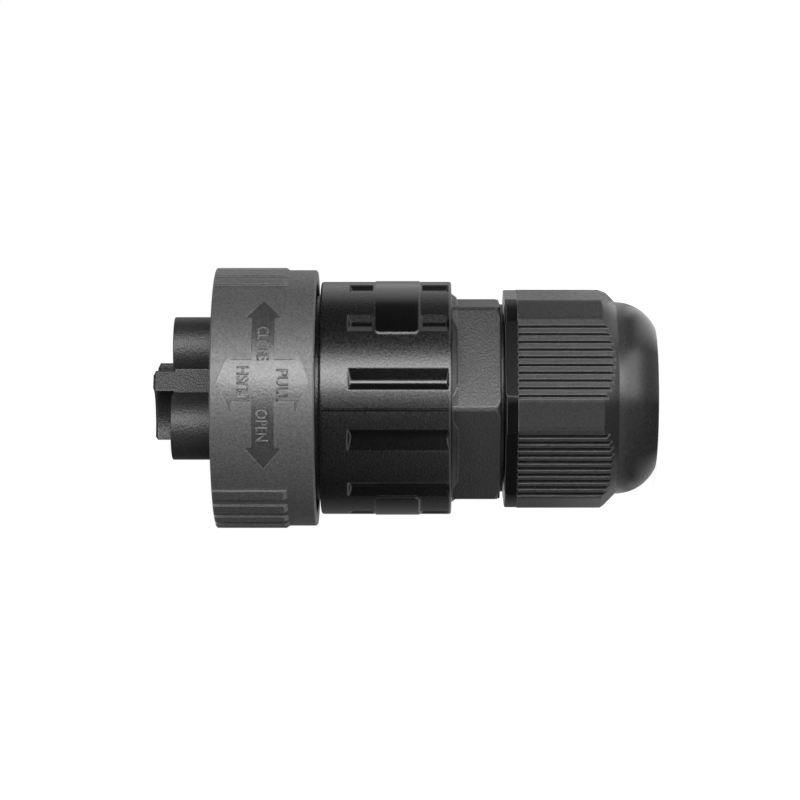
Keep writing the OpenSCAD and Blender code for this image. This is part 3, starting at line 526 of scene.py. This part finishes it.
def metal(name, hex_colour, roughness, mark_mm):
    material = empty_material(name)
    tree = material.node_tree
    place = add(tree, "ShaderNodeTexCoord").outputs["Object"]
    wave_scale = 2 * math.pi / (WAVE_RADIANS * mark_mm * MARKS_COARSER * MM)
    marks = add(tree, "ShaderNodeTexWave", {"Scale": wave_scale, "Distortion": 1.5, "Detail": 2.0},
                {"Vector": place}, bands_direction="Z").outputs["Fac"]
    skin = add(tree, "ShaderNodeBump", {"Strength": 0.5, "Distance": MARK_HEIGHT * MM}, {"Height": marks})
    gloss_range = {"To Min": roughness - MARK_SHINE, "To Max": roughness + MARK_DULL}
    dull = add(tree, "ShaderNodeMapRange", gloss_range, {"Value": marks})
    shader = add(tree, "ShaderNodeBsdfPrincipled", {"Base Color": linear(hex_colour), "Metallic": 1.0},
                 {"Roughness": dull.outputs["Result"], "Normal": skin.outputs["Normal"]})
    add(tree, "ShaderNodeOutputMaterial", links={"Surface": shader.outputs[0]})
    return material


# tin plate: a warm white with a soft shine
tin_plate = metal("tin_plated_brass", "#d6cfbf", roughness=0.24, mark_mm=0.08)
# rolled strip: a cool grey that is nearly bright
spring_strip = metal("rolled_spring_steel", "#b9bbbd", roughness=0.28, mark_mm=0.1)
# zinc plate: a pale grey, a little cloudy
zinc_plate = metal("zinc_plated_steel", "#c9cac8", roughness=0.33, mark_mm=0.15)
print("metals made:", tin_plate.name, spring_strip.name, zinc_plate.name)

# %% [markdown]
# ## Finishes on the solids
# Each solid keeps its shape and takes the finish of the real piece. The larger pieces are named one by one.
# The contacts, springs, guards and screws come three times over, so the first word of their names picks the
# metal.

# %% Give the solids their finishes
finish_of = {"housing": barrel_plastic, "contact_insert": insert_plastic, "contact_retainer": insert_plastic,
             "locking_ring": ring_plastic, "gland_nut": nut_plastic, "clamp_cage": cage_plastic,
             "gland_seal": rubber, "face_seal": rubber, "insert_oring": rubber}
metal_of = {"contact": tin_plate, "spring": spring_strip, "guard": spring_strip, "screw": zinc_plate}
for name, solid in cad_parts.items():
    finish = finish_of.get(name) or metal_of[name.split("_")[0]]
    solid.data.materials.clear()
    solid.data.materials.append(finish)
print("solids finished:", len(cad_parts))

# %% [markdown]
# ## Arrows in the locking ring
# The real ring has a cross of two double arrows sunk a tenth of a millimetre into its smooth side, once on
# each side. They could be painted on, but a sunk edge catches the light, so they are cut: a flat arrow
# outline is drawn in degrees round the ring and millimetres along it, pulled into a slab, sliced every degree
# and a half, bent round the axis, and taken away from a copy of the ring with a boolean.

# %% Bend flat shapes round the ring
RING_R = 19.65
RECESS = 0.12
ARROW_TURNS = (-16.65, 163.35)
ARROW_DROP = 0.15
BEND_REACH = 45
BEND_STEP = 1.5
ring_low, ring_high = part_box("locking_ring")
ARROW_Z = (ring_low[2] + ring_high[2]) / 2 / MM - ARROW_DROP


def thickened(shape, faces, rise_mm):
    top = bmesh.ops.extrude_face_region(shape, geom=faces)["geom"]
    top_verts = [e for e in top if isinstance(e, bmesh.types.BMVert)]
    bmesh.ops.translate(shape, verts=top_verts, vec=(0, 0, rise_mm))
    return shape


def bent(shape, turn, along_mm, radius_mm):
    cuts = int(BEND_REACH / BEND_STEP)
    for i in range(-cuts, cuts + 1):
        bmesh.ops.bisect_plane(shape, geom=shape.verts[:] + shape.edges[:] + shape.faces[:],
                               plane_co=(i * BEND_STEP, 0, 0), plane_no=(1, 0, 0))
    for vert in shape.verts:
        angle = math.radians(turn + vert.co.x)
        radius = (radius_mm + vert.co.z) * MM
        vert.co = (radius * math.sin(angle), -radius * math.cos(angle), (along_mm + vert.co.y) * MM)
    bmesh.ops.recalc_face_normals(shape, faces=shape.faces[:])
    return shape


print("arrow centre at Z", round(ARROW_Z, 2), "mm")

# %% Join shapes into one piece
def joined(name, shapes, finish):
    mesh = bpy.data.meshes.new(name)
    whole = bmesh.new()
    for shape in shapes:
        part = bpy.data.meshes.new("part")
        shape.to_mesh(part)
        whole.from_mesh(part)
        shape.free()
        bpy.data.meshes.remove(part)
    whole.to_mesh(mesh)
    whole.free()
    mesh.materials.append(finish)
    made = bpy.data.objects.new(name, mesh)
    bpy.context.scene.collection.objects.link(made)
    return made


print("shape helpers:", thickened.__name__, bent.__name__, joined.__name__)

# %% Draw the arrows
# the long arrows point round the ring, in degrees, and the short ones along it, in millimetres
LONG_TIP = 40.3
LONG_BARB = 30.2
LONG_BARB_HALF = 2.64
LONG_NECK = 29.7
LONG_HALF = 1.69
SHORT_TIP = 6.9
SHORT_BARB = 4.8
SHORT_BARB_HALF = 14.0
SHORT_NECK = 4.7
SHORT_HALF = 9.3
CUTTER_THICK = 1.0


def arrow_slab():
    corner = [(LONG_TIP, 0), (LONG_BARB, LONG_BARB_HALF), (LONG_NECK, LONG_HALF), (SHORT_HALF, LONG_HALF),
              (SHORT_HALF, SHORT_NECK), (SHORT_BARB_HALF, SHORT_BARB)]
    outline = corner + [(0, SHORT_TIP)] + [(-u, v) for u, v in reversed(corner)]
    outline += [(-u, -v) for u, v in corner[1:]] + [(0, -SHORT_TIP)]
    outline += [(u, -v) for u, v in reversed(corner[1:])]
    shape = bmesh.new()
    face = shape.faces.new([shape.verts.new((u, v, -RECESS)) for u, v in outline])
    return thickened(shape, [face], CUTTER_THICK)


arrows = [bent(arrow_slab(), turn, ARROW_Z, RING_R) for turn in ARROW_TURNS]
cutter = joined("arrow_cutter", arrows, arrow_plastic)
print("arrow cutter:", len(cutter.data.polygons), "faces")

# %% Cut the arrows
marked_ring = bpy.data.objects.new("marked_locking_ring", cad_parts["locking_ring"].data.copy())
bpy.context.scene.collection.objects.link(marked_ring)
cut = marked_ring.modifiers.new("arrows", "BOOLEAN")
cut.object = cutter
cut.operation = "DIFFERENCE"
cut.solver = "EXACT"
cut.material_mode = "TRANSFER"
ring_mesh = bpy.data.meshes.new_from_object(marked_ring.evaluated_get(bpy.context.evaluated_depsgraph_get()))
marked_ring.modifiers.clear()
marked_ring.data = ring_mesh
bpy.data.objects.remove(cutter)
print("ring faces:", len(ring_mesh.polygons), "materials:", [m.name for m in ring_mesh.materials])

# %% [markdown]
# The boolean loses the smooth shading of the turned faces. Shading by an angle would blur the ribs as well.
# But a face that belongs to a turned surface has no slope round the axis, so its corners get normals that
# point straight away from the axis, and all other faces stay flat.

# %% Smooth the cut ring
MOST_SIDEWAYS = 0.15
END_FACE = 0.98
normals = []
for face in ring_mesh.polygons:
    outward = Vector((face.center.x, face.center.y, 0)).normalized()
    sideways = Vector((0, 0, 1)).cross(outward)
    turned = abs(face.normal.dot(sideways)) < MOST_SIDEWAYS and abs(face.normal.z) < END_FACE
    for index in face.vertices:
        point = ring_mesh.vertices[index].co
        normal = face.normal.copy()
        if turned:
            away = Vector((point.x, point.y, 0)).normalized()
            flat = math.sqrt(1 - face.normal.z ** 2) * math.copysign(1, face.normal.dot(outward))
            normal = away * flat + Vector((0, 0, face.normal.z))
        normals.append(normal)
    face.use_smooth = True
ring_mesh.normals_split_custom_set(normals)
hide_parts("locking_ring")
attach(marked_ring, "locking_ring")
print("smoothed", len(normals), "corners")

# %% [markdown]
# ## Words on the arrows
# Four plain words stand in the sunk arrows, level with the ring's own surface and with its matte grain. They
# start as text with Blender's built-in letters, made a little bolder and narrowed to the real width, and are
# bent round the ring like the arrows. Leaving them standing when the arrows are cut would give the same shape
# with a much harder boolean.

# %% Letters
BOLDER = 0.026
LETTER_ROOT = 0.05
LETTER_DROP = 0.005


def word_slab(body, across_deg, tall_mm, turn_deg, along_mm, way):
    text = bpy.data.curves.new("word", "FONT")
    text.body = body
    text.resolution_u = 3
    text.offset = BOLDER
    holder = bpy.data.objects.new("word", text)
    bpy.context.scene.collection.objects.link(holder)
    flat = bpy.data.meshes.new_from_object(holder.evaluated_get(bpy.context.evaluated_depsgraph_get()))
    bpy.data.objects.remove(holder)
    shape = bmesh.new()
    shape.from_mesh(flat)
    bmesh.ops.remove_doubles(shape, verts=shape.verts[:], dist=1e-5)
    low = [min(v.co[i] for v in shape.verts) for i in (0, 1)]
    high = [max(v.co[i] for v in shape.verts) for i in (0, 1)]
    for vert in shape.verts:
        u, v = [(vert.co[i] - low[i]) / (high[i] - low[i]) - 0.5 for i in (0, 1)]
        vert.co = (turn_deg + way * u * across_deg, along_mm + way * v * tall_mm, -RECESS - LETTER_ROOT)
    return thickened(shape, shape.faces[:], RECESS + LETTER_ROOT - LETTER_DROP)


# each word: its width in degrees and height in mm, its place in degrees and mm, and which way up it reads
WORDS = [("PUSH", 14.0, 1.85, -0.6, 2.95, 1), ("PULL", 14.0, 1.8, -1.9, -2.9, -1),
         ("CLOSE", 16.4, 1.85, 17.2, 0.0, -1), ("OPEN", 14.4, 1.85, -19.8, 0.15, -1)]
words = [bent(word_slab(*word), turn, ARROW_Z, RING_R) for word in WORDS for turn in ARROW_TURNS]
letters = joined("arrow_words", words, ring_plastic)
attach(letters, "locking_ring")
print("letters:", len(letters.data.polygons), "faces")

# %% [markdown]
# ## Gland thread
# The gland nut runs on a thread of 1.5 mm pitch, with blunt crests, on the housing's spigot. It is hidden
# until the nut is unscrewed, and then it is the first thing one sees. A thread could be a bump pattern, but
# its crests make an outline, so both threads are swept: a small ridge section goes round the axis, climbs one
# pitch a turn, and rises and sinks over a third of a turn at its ends.

# %% Sweep a section
def closed_sweep(shape, rows):
    corners = len(rows[0])
    for one, two in zip(rows, rows[1:]):
        for j in range(corners):
            following = (j + 1) % corners
            shape.faces.new((one[j], one[following], two[following], two[j]))
    shape.faces.new(rows[0])
    shape.faces.new(rows[-1])
    bmesh.ops.recalc_face_normals(shape, faces=shape.faces[:])
    return shape


print("sweep helper:", closed_sweep.__name__)

# %% Sweep the threads
PITCH = 1.5
STEPS_PER_TURN = 48
RUNS_OUT_IN = 1 / 3
LEAST_CREST = 0.04
ROOT_HALF = 0.55
CREST_HALF = 0.14
SHARP_EDGE = math.radians(35)


def thread(name, root_mm, crest_mm, low_mm, high_mm, start_deg, finish):
    total = int((high_mm - low_mm) / PITCH * STEPS_PER_TURN)
    shape = bmesh.new()
    rows = []
    for i in range(total + 1):
        angle = math.radians(start_deg + 360 * i / STEPS_PER_TURN)
        turns_to_end = min(i, total - i) / STEPS_PER_TURN
        crest = root_mm + (crest_mm - root_mm) * max(min(1, turns_to_end / RUNS_OUT_IN), LEAST_CREST)
        centre = low_mm + PITCH * i / STEPS_PER_TURN
        section = [(root_mm, -ROOT_HALF), (crest, -CREST_HALF), (crest, CREST_HALF), (root_mm, ROOT_HALF)]
        rows.append([shape.verts.new((r * MM * math.cos(angle), r * MM * math.sin(angle), (centre + z) * MM))
                     for r, z in section])
    made = joined(name, [closed_sweep(shape, rows)], finish)
    for face in made.data.polygons:
        face.use_smooth = True
    made.data.set_sharp_from_angle(angle=SHARP_EDGE)
    return made


gland_thread = thread("gland_thread", root_mm=11.6, crest_mm=12.2, low_mm=13.7, high_mm=22.6, start_deg=0,
                      finish=barrel_plastic)
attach(gland_thread, "housing")
nut_thread = thread("nut_thread", root_mm=12.45, crest_mm=11.85, low_mm=13.7, high_mm=21.8, start_deg=180,
                    finish=nut_plastic)
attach(nut_thread, "gland_nut")
print("thread faces:", len(gland_thread.data.polygons), len(nut_thread.data.polygons))

# %% [markdown]
# ## Parting line
# The barrel's mould opens in two halves, and the plastic creeps about a tenth of a millimetre into the joint.
# It shows as a fine raised line along the barrel on both sides. A dark stripe in the material would look the
# same from everywhere. A thin ridge with one longer slope catches a bright line on one side and a dark one on
# the other, as the real one does.

# %% Parting lines
PARTING_TURNS = (-30, 150)
PARTING_LOW = 31.7
PARTING_HIGH = 50.7
RIDGE_SINK = 0.015
# degrees round the barrel, and the height over the sunk line in mm
RIDGE = [(-0.9, -0.03), (-0.35, 0.04), (0.35, 0.115), (0.9, -0.03)]


def parting_ridge(turn_deg):
    shape = bmesh.new()
    rows = []
    for z in (PARTING_LOW, PARTING_HIGH):
        row = []
        for u, height in RIDGE:
            angle = math.radians(turn_deg + u)
            radius = (BARREL_R - RIDGE_SINK + height) * MM
            row.append(shape.verts.new((radius * math.sin(angle), -radius * math.cos(angle), z * MM)))
        rows.append(row)
    return closed_sweep(shape, rows)


# moulded in the joint: black and glossy, so that only its slopes show
parting_plastic = moulded("polyamide_parting_line", "#050506", roughness=0.22, grain_mm=0.3,
                          grain_height_mm=0.002, edge_mm=0.03)
parting_lines = joined("parting_lines", [parting_ridge(turn) for turn in PARTING_TURNS], parting_plastic)
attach(parting_lines, "housing")
print("parting lines:", len(parting_lines.data.polygons), "faces")
